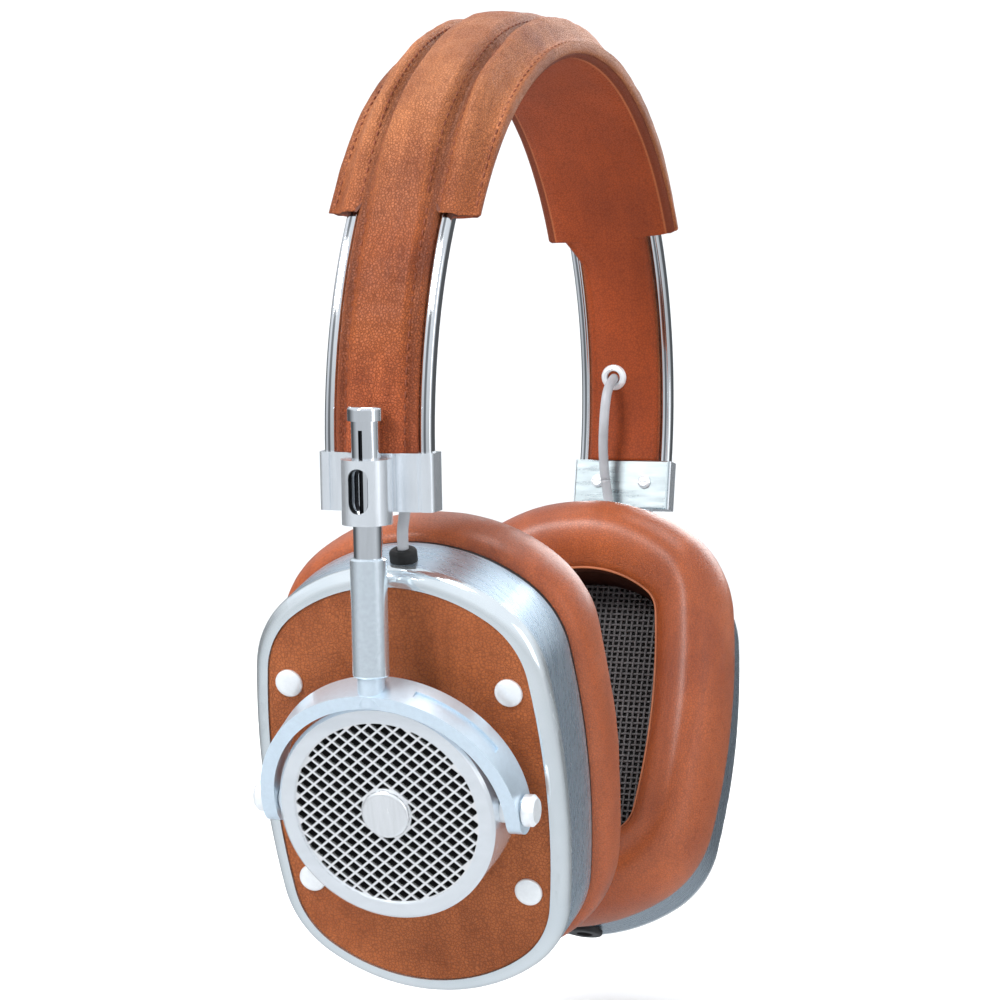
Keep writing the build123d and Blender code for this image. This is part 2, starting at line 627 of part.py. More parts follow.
def cable_grommet():
    wall = PANEL_HALF_HEIGHT + CUP_GROW
    neck = rod_z(GROMMET_NECK, wall - 2.6, wall + 1, GROMMET_DEPTH, GROMMET_Y)
    head = rod_z(GROMMET_HEAD, wall - 1, GROMMET_TOP, GROMMET_DEPTH, GROMMET_Y)
    head = fillet(head.edges().group_by(Axis.Z)[-1], 0.8) - cup_slab(CUP_GROW, -30, 0)
    blind = rod_z(CABLE_RADIUS + 0.1, wall - 1.6, GROMMET_TOP + 1, GROMMET_DEPTH, GROMMET_Y)
    return CUP_FRAME * (neck + head - blind)


def mute_button():
    top = BUTTON_FLANGE_TOP - BUTTON_FLANGE_THICKNESS
    button = stadium_slab(BUTTON_HALF_LENGTH, BUTTON_HALF_WIDTH, BUTTON_OUT, top, JACK_DEPTH, BUTTON_Y)
    button = fillet(button.edges().group_by(Axis.Z)[0], 0.5)
    length = BUTTON_HALF_LENGTH + 1
    width = BUTTON_HALF_WIDTH + 1
    flange = stadium_slab(length, width, top, BUTTON_FLANGE_TOP, JACK_DEPTH, BUTTON_Y)
    return CUP_FRAME * (button + flange)


# ---- Link cable ----
def world(frame, point):
    return Vector(*(frame * Location(point)).position)


def cable_route(swing):
    """From the headband's core, out of the eyelet, down past the bracket and into the cup's grommet."""
    bottom = PANEL_HALF_HEIGHT + CUP_GROW - 1.6
    return [
        world(eyelet_frame(), (LINER_THICKNESS - 0.2, 0, 0)),
        world(eyelet_frame(), (-4.2, 0, -0.9)),
        world(eyelet_frame(), (-7.0, 0.3, -7.0)),
        world(BRACKET_FRAME, (-7.6, 3.2, 5.0)),
        world(swing * BRACKET_FRAME, (-6.2, 2.4, -6.5)),
        world(swing * CUP_FRAME, (GROMMET_DEPTH, GROMMET_Y, GROMMET_TOP + 2.5)),
        world(swing * CUP_FRAME, (GROMMET_DEPTH, GROMMET_Y, bottom)),
    ]


def bend_radii(points):
    """0.45 of the shorter run at each corner, over the tangent of half the turn."""
    radii = []
    for before, corner, after in zip(points, points[1:], points[2:]):
        first, second = corner - before, after - corner
        turn = first.get_angle(second)
        radii.append(0.45 * min(first.length, second.length) / tan(radians(turn / 2)))
    return radii


def link_cable(swing):
    points = cable_route(swing)
    radii = bend_radii(points)
    path = FilletPolyline(*points, radius=radii)
    plane = Plane(points[0], z_dir=points[1] - points[0])
    tube = sweep(plane * Circle(CABLE_RADIUS), path=path)
    share = tube.volume / (pi * CABLE_RADIUS**2 * path.length)
    print("link cable length", round(path.length, 1), "volume over section times length", round(share, 4))
    print("link cable radii", [round(r, 1) for r in radii])
    return tube


# ---- Writing the parts ----
def side_parts(raised, swung, with_button):
    """One side's parts by name. raised places the rod, and swung places what turns about it."""
    parts = {
        "bracket": bracket(),
        "bracket_plate": bracket_plate(),
        "bracket_screws": bracket_screws(),
        "eyelet": eyelet(),
        "slider_rod": raised * slider_rod(),
        "rod_cap": raised * rod_cap(),
        "link_cable": link_cable(swung),
    }
    turning = {
        "rod_sleeve": rod_sleeve(),
        "yoke": yoke(),
        "pivot_screws": pivot_screws(),
        "cup_housing": cup_housing(with_button),
        "leather_panel": leather_panel(),
        "panel_screws": panel_screws(),
        "drum": drum(),
        "grille": grille(),
        "grille_cloth": grille_cloth(),
        "badge": badge(),
        "baffle": baffle(),
        "driver_basket": driver_basket(),
        "driver_magnet": driver_magnet(),
        "diaphragm": diaphragm(),
        "pad_plate": pad_plate(),
        "ear_mesh": ear_mesh(),
        "ear_pad": ear_pad(),
        "jack_socket": jack_socket(),
        "cable_grommet": cable_grommet(),
    }
    if with_button:
        turning["mute_button"] = mute_button()
    for name, shape in turning.items():
        parts[name] = swung * shape
    return parts


def main():
    os.makedirs("parts", exist_ok=True)
    parts = {
        "headband_liner": headband_liner(),
        "headband_core": headband_core(),
        "headband_cover": headband_cover(),
        "band_front": spring_band(-BAND_Y),
        "band_rear": spring_band(BAND_Y),
    }
    for name, shape in side_parts(RAISED, SWUNG, True).items():
        parts[name + "_right"] = shape
    for name, shape in side_parts(Location(), Location(), False).items():
        parts[name + "_left"] = shape.rotate(Axis.Z, 180)
    for name, shape in parts.items():
        export_step(shape, f"parts/{name}.step")


if __name__ == "__main__":
    main()
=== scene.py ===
import json
import math

import bpy
import numpy as np
from mathutils import Matrix, Vector, noise


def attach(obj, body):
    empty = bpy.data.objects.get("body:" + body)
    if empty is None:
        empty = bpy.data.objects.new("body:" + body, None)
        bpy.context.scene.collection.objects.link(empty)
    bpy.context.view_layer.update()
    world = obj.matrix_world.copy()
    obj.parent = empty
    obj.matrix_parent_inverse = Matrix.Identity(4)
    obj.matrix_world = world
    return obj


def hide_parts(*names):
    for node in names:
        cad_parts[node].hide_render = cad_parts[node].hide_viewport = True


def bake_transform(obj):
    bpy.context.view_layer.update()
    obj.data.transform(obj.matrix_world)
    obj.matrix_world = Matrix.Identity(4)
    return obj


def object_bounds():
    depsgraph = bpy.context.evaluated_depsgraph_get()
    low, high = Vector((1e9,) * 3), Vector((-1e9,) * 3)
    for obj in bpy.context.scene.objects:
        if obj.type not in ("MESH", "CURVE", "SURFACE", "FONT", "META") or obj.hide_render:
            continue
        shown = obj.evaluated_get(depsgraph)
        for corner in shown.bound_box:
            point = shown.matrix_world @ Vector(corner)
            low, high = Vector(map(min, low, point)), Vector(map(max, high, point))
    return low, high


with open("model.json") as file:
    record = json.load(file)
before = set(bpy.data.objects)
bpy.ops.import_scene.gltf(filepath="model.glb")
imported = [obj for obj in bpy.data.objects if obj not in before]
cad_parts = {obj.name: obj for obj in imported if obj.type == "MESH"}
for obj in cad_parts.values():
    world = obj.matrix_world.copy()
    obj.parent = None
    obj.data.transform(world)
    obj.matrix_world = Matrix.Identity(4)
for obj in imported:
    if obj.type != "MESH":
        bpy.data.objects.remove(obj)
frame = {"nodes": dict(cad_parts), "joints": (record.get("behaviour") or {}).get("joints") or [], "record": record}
cad_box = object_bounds()

MM = 0.001
SIDES = ("right", "left")
joints = {j["name"]: j for j in frame["joints"]}
mounts = {m["name"]: m for m in frame["record"]["mounts"]}

# ---- Sizes shared with the CAD, in millimetres ----
LINER_RADIUS = 73.6
LINER_TOP = 75.0
STRAP_HALF_WIDTH = 8.3
COVER_HALF_WIDTH = 15.6
ROD_X = 6.9
SWIVEL_Z = -20.0
EYELET_Y = 2.3
RIGHT_RISE = 1.2
CABLE_RADIUS = 1.1
PANEL_HALF_WIDTH = 28.5
PANEL_HALF_HEIGHT = 41.7
PANEL_SIDE_RADIUS = 170.0
PANEL_END_RADIUS = 34.0
PANEL_CORNER_RADIUS = 17.0

# ---- Angles shared with the CAD, in degrees. Those round the headband are from its top ----
COVER_END = 60.0
ARC_END = 96.8
EYELET_ANGLE = 81.9
RIGHT_SWING = 4.5


# ---- Frames: the cup's (depth, across, up) and the bracket's (outward, across, up) ----
def frame_at(origin, up, across):
    up, across = Vector(up).normalized(), Vector(across)
    axes = Matrix((across.cross(up), across, up)).transposed().to_4x4()
    axes.translation = origin
    return axes


def cup_frame(side):
    up = -Vector(mounts["audio_jack_" + side]["axis"])
    tilt = joints["tilt_" + side]
    return frame_at(tilt["pos_m"], up, tilt["axis"])


def bracket_frame(side):
    across = (0, 1 if side == "right" else -1, 0)
    swivel = frame_at(joints["swivel_" + side]["pos_m"], joints["slide_" + side]["axis"], across)
    return swivel @ Matrix.Translation(Vector((-ROD_X, 0, -SWIVEL_Z)) * MM)


def band_point(y, radius, degrees):
    """A point of the headband, in metres, from its place across it, its radius and its angle from the top."""
    a = math.radians(degrees)
    return Vector((radius * math.sin(a), y, radius * math.cos(a) - LINER_RADIUS)) * MM


# ---- Camera: angles in degrees, places in metres ----
CAMERA_AZIMUTH = 19.7
CAMERA_ELEVATION = 0.43
CAMERA_ROLL = 1.3
CAMERA_TARGET = (0, 0, -0.0928)
CAMERA_DISTANCE = 0.7032
CAMERA_LENS = 120.43
CAMERA_SHIFT = (-0.0143, 0.0053)


def make_camera():
    """Makes the camera and returns the directions behind it, to its right and above it, before its roll."""
    azimuth, elevation = math.radians(CAMERA_AZIMUTH), math.radians(CAMERA_ELEVATION)
    roll, level = math.radians(CAMERA_ROLL), math.cos(elevation)
    back = Vector((-math.cos(azimuth) * level, -math.sin(azimuth) * level, math.sin(elevation)))
    right = (-back).cross(Vector((0, 0, 1))).normalized()
    up = right.cross(-back)
    rolled_right = math.cos(roll) * right + math.sin(roll) * up
    rolled_up = math.cos(roll) * up - math.sin(roll) * right
    camera = bpy.data.objects.new("camera", bpy.data.cameras.new("camera"))
    bpy.context.scene.collection.objects.link(camera)
    place = Matrix((rolled_right, rolled_up, back)).transposed().to_4x4()
    place.translation = Vector(CAMERA_TARGET) + back * CAMERA_DISTANCE
    camera.matrix_world = place
    camera.data.sensor_width = 36
    camera.data.lens = CAMERA_LENS
    camera.data.shift_x, camera.data.shift_y = CAMERA_SHIFT
    camera.data.clip_start = 0.05
    camera.data.clip_end = 20
    bpy.context.scene.camera = camera
    return back, right, up


# ---- Mesh helpers ----
def turns(count):
    """Evenly spaced angles of a whole turn."""
    return [2 * math.pi * k / count for k in range(count)]


def shade_smooth(mesh):
    mesh.polygons.foreach_set("use_smooth", [True] * len(mesh.polygons))


def mesh_object(name, points, faces):
    mesh = bpy.data.meshes.new(name)
    mesh.from_pydata([tuple(p) for p in points], [], faces)
    mesh.validate()
    mesh.update()
    shade_smooth(mesh)
    obj = bpy.data.objects.new(name, mesh)
    bpy.context.scene.collection.objects.link(obj)
    return obj


def lofted(loops, ring=False, caps=True):
    """Points and faces of a surface through closed loops of one size. ring joins the last loop to the first."""
    size, points, faces = len(loops[0]), [p for loop in loops for p in loop], []
    rows = len(loops) if ring else len(loops) - 1
    for i in range(rows):
        a, b = i * size, (i + 1) % len(loops) * size
        for k in range(size):
            n = (k + 1) % size
            faces.append((a + k, a + n, b + n, b + k))
    if caps and not ring:
        last = (len(loops) - 1) * size
        faces.append(tuple(reversed(range(size))))
        faces.append(tuple(last + k for k in range(size)))
    return points, faces


def tube(name, line, radius, sides=20):
    """A mesh tube round a list of points, with flat ends."""
    normal, loops = None, []
    for i, p in enumerate(line):
        ahead = (line[min(i + 1, len(line) - 1)] - line[max(i - 1, 0)]).normalized()
        if normal is None:
            normal = ahead.orthogonal().normalized()
        normal = (normal - ahead * normal.dot(ahead)).normalized()
        other = ahead.cross(normal)
        loops.append([p + (normal * math.cos(t) + other * math.sin(t)) * radius for t in turns(sides)])
    return mesh_object(name, *lofted(loops))


def finish_piece(obj, body, material, replaces=()):
    """Gives a new piece its material, hides the CAD nodes that it stands for, and gives it its body if it has just
    one.
    """
    obj.data.materials.clear()
    obj.data.materials.append(material)
    if replaces:
        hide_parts(*replaces)
    if body:
        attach(obj, body)


# ---- Link cables, the first pieces made. Heights in metres ----
CABLE_CUTS = (-0.0875, -0.1015)


def nurbs_line(name, points, resolution=14):
    """Points along the smooth NURBS line that has these control points."""
    curve = bpy.data.curves.new(name, "CURVE")
    curve.dimensions = "3D"
    spline = curve.splines.new("NURBS")
    spline.points.add(len(points) - 1)
    for point, place in zip(spline.points, points):
        point.co = (*place, 1)
    spline.order_u = 3
    spline.use_endpoint_u = True
    curve.resolution_u = resolution
    holder = bpy.data.objects.new(name, curve)
    bpy.context.scene.collection.objects.link(holder)
    bpy.context.view_layer.update()
    evaluated = holder.evaluated_get(bpy.context.evaluated_depsgraph_get())
    mesh = bpy.data.meshes.new_from_object(evaluated)
    line = [v.co.copy() for v in mesh.vertices]
    bpy.data.objects.remove(holder)
    bpy.data.meshes.remove(mesh)
    return line


def cable_route(side):
    """Control points from the eyelet, past the bracket, into the cup's grommet, each in the nearest part's frame."""
    eyelet = Matrix.Rotation(math.radians(EYELET_ANGLE - 90), 4, "Y")
    eyelet.translation = band_point(EYELET_Y, LINER_RADIUS, EYELET_ANGLE)
    if side == "left":
        eyelet = Matrix.Rotation(math.pi, 4, "Z") @ eyelet
    bracket, cup = bracket_frame(side), cup_frame(side)
    hung = bracket
    if side == "right":
        rod = Matrix.Translation((ROD_X * MM, 0, 0))
        swing = Matrix.Rotation(math.radians(RIGHT_SWING), 4, "Z")
        swing = Matrix.Translation((0, 0, RIGHT_RISE * MM)) @ swing
        hung = bracket @ rod @ swing @ rod.inverted()
    stops = [
        (eyelet, (1.2, 0, 0)),
        (eyelet, (-4.2, 0, -0.9)),
        (eyelet, (-7.0, 0.3, -7.0)),
        (bracket, (-7.6, 3.2, 5.0)),
        (hung, (-6.2, 2.4, -6.5)),
        (cup, (-13.4, 1.6, 49.7)),
        (cup, (-13.4, 1.6, 43.3)),
    ]
    return [axes @ (Vector(p) * MM) for axes, p in stops]


def make_cables(material):
    """Each cable in three lengths, cut at two set heights along its route."""
    for side in SIDES:
        lengths = [[], [], []]
        for p in nurbs_line("line_" + side, cable_route(side)):
            zone = sum(p.z <= cut for cut in CABLE_CUTS)
            if zone > 0 and not lengths[zone]:
                lengths[zone].append(lengths[zone - 1][-1])
            lengths[zone].append(p)
        for k, (part, points) in enumerate(zip(("upper", "middle", "lower"), lengths)):
            piece = tube(f"link_cable_{part}_{side}_jacket", points, CABLE_RADIUS * MM)
            nodes = ["link_cable_" + side] if k == 0 else []
            finish_piece(piece, None, material, nodes)
            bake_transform(piece)


# ---- Materials ----
def srgb(*channels):
    """A linear colour from display values of 0 to 255."""
    return tuple(((c / 255 + 0.055) / 1.055) ** 2.4 if c > 10 else c / 255 / 12.92 for c in channels)


class Paint:
    """A material with one Principled shader and short calls for the nodes in front of it."""

    def __init__(self, name, **values):
        self.material = bpy.data.materials.new(name)
        self.material.use_nodes = True
        self.tree = self.material.node_tree
        self.shader = next(n for n in self.tree.nodes if n.type == "BSDF_PRINCIPLED")
        for key, value in values.items():
            self.shader.inputs[key.replace("_", " ")].default_value = value
        coordinates = self.tree.nodes.new("ShaderNodeTexCoord")
        self.place = coordinates.outputs["Object"]

    def node(self, kind, settings=None, **inputs):
        """A new node. Inputs are given by name, or by number as _0, _1 and so on."""
        n = self.tree.nodes.new("ShaderNode" + kind)
        for key, value in (settings or {}).items():
            setattr(n, key, value)
        for key, value in inputs.items():
            socket = n.inputs[int(key[1:])] if key[0] == "_" else n.inputs[key.replace("_", " ")]
            if isinstance(value, bpy.types.NodeSocket):
                self.tree.links.new(value, socket)
            else:
                socket.default_value = value
        return n

    def stretched(self, x, y, z):
        return self.node("Mapping", Vector=self.place, Scale=(x, y, z)).outputs[0]

    def noise(self, scale, detail=3.0, place=None, roughness=0.5):
        n = self.node("TexNoise", Vector=place or self.place, Scale=scale, Detail=detail, Roughness=roughness)
        return n.outputs["Fac"]

    def along(self, axis, origin):
        """How far a place is along an axis from an origin."""
        n = self.node("VectorMath", {"operation": "DOT_PRODUCT"}, _0=self.place, _1=tuple(axis))
        return self.math("SUBTRACT", n.outputs["Value"], origin.dot(axis))

    def ramp(self, value, low, high, out_low=0.0, out_high=1.0):
        n = self.node("MapRange", {"clamp": True}, _0=value, _1=low, _2=high, _3=out_low, _4=out_high)
        return n.outputs[0]

    def math(self, operation, a, b=0.0):
        return self.node("Math", {"operation": operation}, _0=a, _1=b).outputs[0]

    def mix(self, factor, a, b, kind="MIX"):
        n = self.node("Mix", {"data_type": "RGBA", "blend_type": kind})
        for socket, value in ((n.inputs[0], factor), (n.inputs[6], a), (n.inputs[7], b)):
            if isinstance(value, bpy.types.NodeSocket):
                self.tree.links.new(value, socket)
            else:
                socket.default_value = (*value, 1.0) if isinstance(value, tuple) else value
        return n.outputs[2]

    def bump(self, height, strength, distance):
        return self.node("Bump", Height=height, Strength=strength, Distance=distance).outputs[0]

    def out(self, **sockets):
        for key, value in sockets.items():
            self.tree.links.new(value, self.shader.inputs[key.replace("_", " ")])
        return self.material


def leather(name, light, dark, crevice, cell, relief, roughness, patch=45.0, fold=0.5, coat=0.04,
            height_shading=(), shade_bands=()):
    """Grained leather: creased cells, colour that drifts over patches, and a fine surface tooth.

    cell and patch are how many grain cells and colour patches there are in a metre, relief is the grain's height,
    and fold is how strongly creases and streaks are worn lighter. Each height fade is (first height, last height,
    tint), and multiplies the colour by its tint, more and more between them, as painted shade and light by height.
    Each band is (distance, half width, softness, colour, strength), and changes the colour at that distance from the
    middle plane, as painted shade, painted highlight and edge paint.
    """
    p = Paint(name, Roughness=roughness, Specular_IOR_Level=0.22, Coat_Weight=coat, Coat_Roughness=0.36)
    wander = p.node("TexNoise", Vector=p.place, Scale=cell * 0.45, Detail=2.0)
    bent = p.node("VectorMath", {"operation": "MULTIPLY_ADD"}, _0=wander.outputs["Color"])
    bent.inputs[1].default_value = (0.8 / cell,) * 3
    p.tree.links.new(p.place, bent.inputs[2])
    cells = p.node("TexVoronoi", {"feature": "DISTANCE_TO_EDGE"}, Vector=bent.outputs[0], Scale=cell)
    crease = p.ramp(cells.outputs["Distance"], 0.0, 0.18)
    tooth = p.noise(cell * 2.3, 2.0)
    folds = p.noise(cell * 0.24, 3.0, roughness=0.6)
    drift = p.noise(patch, 4.0, roughness=0.62)
    base = p.mix(p.ramp(drift, 0.34, 0.66), dark, light)
    split = p.node("SeparateXYZ", _0=p.place)
    streaks = p.noise(1.0, 3.0, p.stretched(40, 380, 40), 0.6)
    bleached = tuple(min(1.0, c * 1.5) for c in light)
    base = p.mix(p.ramp(streaks, 0.48, 0.72, 0.0, 0.5 * fold), base, bleached)
    worn = p.mix(p.ramp(folds, 0.4, 0.75, 0.0, fold * 0.5), base, light)
    colour = p.mix(crease, p.mix(0.5, worn, crevice), worn)
    # Painted shade and painted light by height: the colour is tinted more and more between two heights.
    for start, end, tint in height_shading:
        colour = p.mix(p.ramp(split.outputs[2], end, start, 1.0, 0.0), colour, tint, "MULTIPLY")
    # Painted shade and painted highlight in bands at set distances from the middle plane, some of them edge paint.
    for distance, reach, soft, tint, strength in shade_bands:
        away = p.math("ABSOLUTE", p.math("SUBTRACT", p.math("ABSOLUTE", split.outputs[1]), distance))
        colour = p.mix(p.ramp(away, reach, reach + soft, strength, 0.0), colour, tint)
    relief_height = p.math("ADD", crease, p.math("MULTIPLY", tooth, 0.35))
    relief_height = p.math("ADD", relief_height, p.math("MULTIPLY", folds, 1.1))
    rough = p.ramp(crease, 0.0, 1.0, min(roughness + 0.15, 1.0), roughness)
    return p.out(Base_Color=colour, Roughness=rough, Normal=p.bump(relief_height, 0.7, relief))


def recess_shade_mask(p, side, inner, outer, low, high):
    """Where shade is painted in the bracket's window: 1 between two radii of the rod's line and two heights of the
    bracket's frame, and 0 elsewhere.
    """
    axes = bracket_frame(side)
    origin = axes @ Vector((ROD_X * MM, 0, 0))
    out, across, up = (p.along(axis, origin) for axis in axes.to_3x3().col)
    reach = p.math("SQRT", p.math("ADD", p.math("MULTIPLY", out, out), p.math("MULTIPLY", across, across)))
    within = p.ramp(reach, inner, inner + 0.0001)
    within = p.math("MULTIPLY", within, p.ramp(reach, outer, outer + 0.0002, 1.0, 0.0))
    within = p.math("MULTIPLY", within, p.ramp(up, low, low + 0.0001))
    return p.math("MULTIPLY", within, p.ramp(up, high, high + 0.0001, 1.0, 0.0))


def metal(name, colour, rough, grain=(900, 900, 900), spread=0.06, shade=0.93, metallic=1.0,
          shaded_recess=None, line=None):
    """Metal with a grain along one direction, or even in all: grain gives the noise's scale on each axis.

    A recess, if given, is (side, inner radius, outer radius, lowest, highest) round the rod's line, painted
    near black as painted shade. A line, if given, is (distance from the middle plane, half width) of a dark painted
    reflection along the metal.
    """
    p = Paint(name, Metallic=metallic)
    lines = p.noise(1.0, 4.0, p.stretched(*grain), 0.65)
    smudge = p.noise(70.0, 3.0)
    roughness = p.math("ADD", p.ramp(lines, 0.3, 0.7, rough - spread * 0.5, rough + spread * 0.5),
                       p.ramp(smudge, 0.35, 0.7, 0.0, spread * 0.6))
    darker = tuple(c * shade for c in colour)
    tone = p.mix(p.ramp(lines, 0.3, 0.7), darker, colour)
    # Painted reflection: a dark line along the metal at a set distance from the middle plane.
    if line:
        across = p.math("ABSOLUTE", p.node("SeparateXYZ", _0=p.place).outputs[1])
        away = p.math("ABSOLUTE", p.math("SUBTRACT", across, line[0]))
        tone = p.mix(p.ramp(away, line[1], line[1] * 2, 0.75, 0.0), tone, (0.03, 0.033, 0.04))
    # Painted shade: the bracket's window and the rod inside it are painted near black.
    if shaded_recess:
        tone = p.mix(recess_shade_mask(p, *shaded_recess), tone, (0.02, 0.021, 0.024))
    return p.out(Base_Color=tone, Roughness=roughness, Normal=p.bump(lines, 0.08, 0.000004))


def moulded(name, colour, rough, cell=1500.0, relief=0.00003, sheen=0.0, level=0.4):
    """Plastic, rubber, foam or thread: a fine even grain over a colour that drifts a little."""
    p = Paint(name, Specular_IOR_Level=level, Sheen_Weight=sheen)
    grain = p.noise(cell, 3.0)
    drift = p.noise(80.0, 3.0)
    lighter = tuple(min(1.0, c * 1.5 + 0.004) for c in colour)
    tone = p.mix(p.ramp(drift, 0.35, 0.7), colour, lighter)
    roughness = p.ramp(grain, 0.3, 0.7, rough - 0.06, rough + 0.08)
    return p.out(Base_Color=tone, Roughness=roughness, Normal=p.bump(grain, 0.6, relief))


def woven(name, colour, light, pitch, sheen):
    """Plain weave from two crossed waves. pitch is the distance over which each repeats."""
    p = Paint(name, Roughness=0.9, Sheen_Weight=sheen, Specular_IOR_Level=0.08)
    split = p.node("SeparateXYZ", _0=p.place)
    across = p.math("SINE", p.math("MULTIPLY", split.outputs[1], 2 * math.pi / pitch))
    up = p.math("SINE", p.math("MULTIPLY", split.outputs[2], 2 * math.pi / pitch))
    height = p.math("MULTIPLY", across, up)
    tone = p.mix(p.ramp(height, -0.4, 0.9), colour, light)
    return p.out(Base_Color=tone, Normal=p.bump(height, 0.9, pitch * 0.3))


def cup_shell(side):
    """Satin side wall with a polished bevel where the wall turns to the face. The right wall's colour is painted
    darker, as painted shade; both cups are the same metal.
    """
    p = Paint("cup_metal_" + side, Metallic=0.86)
    place = cup_frame(side)
    polished = p.ramp(p.along(place.to_3x3().col[0], place.translation), -0.0108, -0.01)
    lines = p.noise(1.0, 4.0, p.stretched(1500, 160, 160), 0.6)
    smudge = p.noise(60.0, 3.0)
    # Painted shade: the right wall's colour is scaled much darker than the left's.
    shade = 0.9 if side == "left" else 0.55
    tones = [tuple(c * shade for c in tone) for tone in (srgb(192, 212, 228), srgb(206, 222, 235))]
    wall = p.mix(p.ramp(lines, 0.3, 0.7), *tones)
    bevel = p.mix(p.ramp(smudge, 0.3, 0.7), srgb(228, 236, 240), srgb(238, 244, 247))
    satin = p.math("MULTIPLY", p.math("SUBTRACT", 1.0, polished), p.ramp(lines, 0.3, 0.7, 0.24, 0.32))
    bright = p.math("MULTIPLY", polished, p.ramp(smudge, 0.3, 0.7, 0.08, 0.14))
    rough = p.math("ADD", bright, satin)
    tone = p.mix(polished, wall, bevel)
    return p.out(Base_Color=tone, Roughness=rough, Normal=p.bump(lines, 0.1, 0.000005))


# Recesses where metal() paints shade near black, as (inner radius, outer radius, lowest, highest) in metres: the
# bracket's window and the rod inside it.
BRACKET_WINDOW = (0.0029, 0.0045, -0.0051, 0.0034)
ROD_IN_WINDOW_RIGHT = (0.0, 0.0025, -0.009, 0.0118)
ROD_IN_WINDOW_LEFT = (0.0, 0.0025, -0.009, 0.0106)


